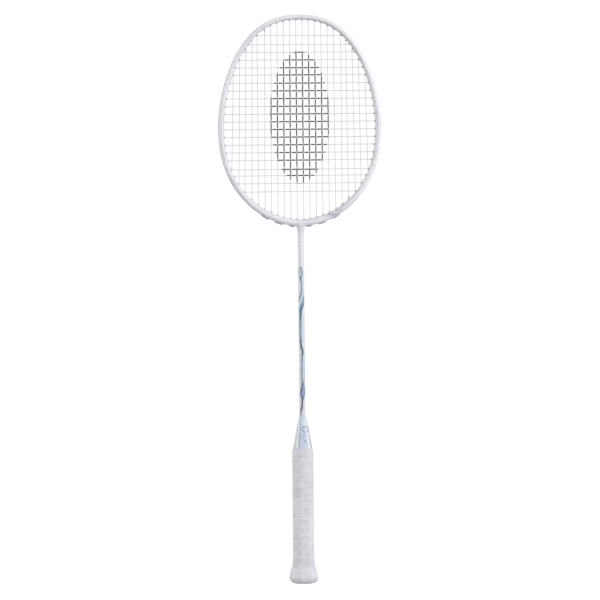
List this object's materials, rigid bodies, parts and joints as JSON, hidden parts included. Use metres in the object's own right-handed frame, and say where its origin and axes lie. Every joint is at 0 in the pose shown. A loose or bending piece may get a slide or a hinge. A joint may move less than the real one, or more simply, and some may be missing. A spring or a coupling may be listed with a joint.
{
  "type": "badminton racket",
  "caption": "Badminton racket with an oval strung head, a slim round shaft, a faceted cone and an octagonal wrapped grip that ends in a flared butt.",
  "frame": {"origin": "middle of the flat butt end", "axes": "+Z along the shaft from the butt end to the top of the head, +X across the strings, -Y out of the front face"},
  "size_m": [0.1954, 0.031, 0.675],
  "materials": {
    "hoop_lacquer": "gloss pearl white",
    "shaft_lacquer": "gloss white with a marbled blue pattern",
    "cone_lacquer": "gloss pale blue",
    "core_plastic": "matt black carbon-filled",
    "grommet_plastic": "satin, slightly clouded",
    "string_nylon": "satin white braid with black ink in the middle",
    "handle_wood": "raw",
    "cap_plastic": "satin",
    "badge_film": "gloss film",
    "tack_steel": "plain",
    "grip_polyurethane": "matt embossed synthetic leather",
    "tape_film": "satin film"
  },
  "bodies": {
    "root": {"frame_hoop": "hoop_lacquer", "throat_shell": "hoop_lacquer", "t_joint_core": "core_plastic", "top_grommet_strip": "grommet_plastic", "side_grommet_strip_right_1": "grommet_plastic", "side_grommet_strip_right_2": "grommet_plastic", "side_grommet_strip_right_3": "grommet_plastic", "side_grommet_strip_left_1": "grommet_plastic", "side_grommet_strip_left_2": "grommet_plastic", "side_grommet_strip_left_3": "grommet_plastic", "twin_grommet_right_1": "grommet_plastic", "twin_grommet_right_2": "grommet_plastic", "twin_grommet_right_3": "grommet_plastic", "twin_grommet_right_4": "grommet_plastic", "twin_grommet_left_1": "grommet_plastic", "twin_grommet_left_2": "grommet_plastic", "twin_grommet_left_3": "grommet_plastic", "twin_grommet_left_4": "grommet_plastic", "main_string": "string_nylon", "cross_string": "string_nylon", "shaft": "shaft_lacquer", "handle_cone": "cone_lacquer", "handle_core": "handle_wood", "butt_cap": "cap_plastic", "butt_badge": "badge_film", "cap_tack_front": "tack_steel", "cap_tack_back": "tack_steel", "grip_start_band": "tape_film", "grip_wrap": "grip_polyurethane", "finishing_tape": "tape_film"}
  },
  "joints": []
}
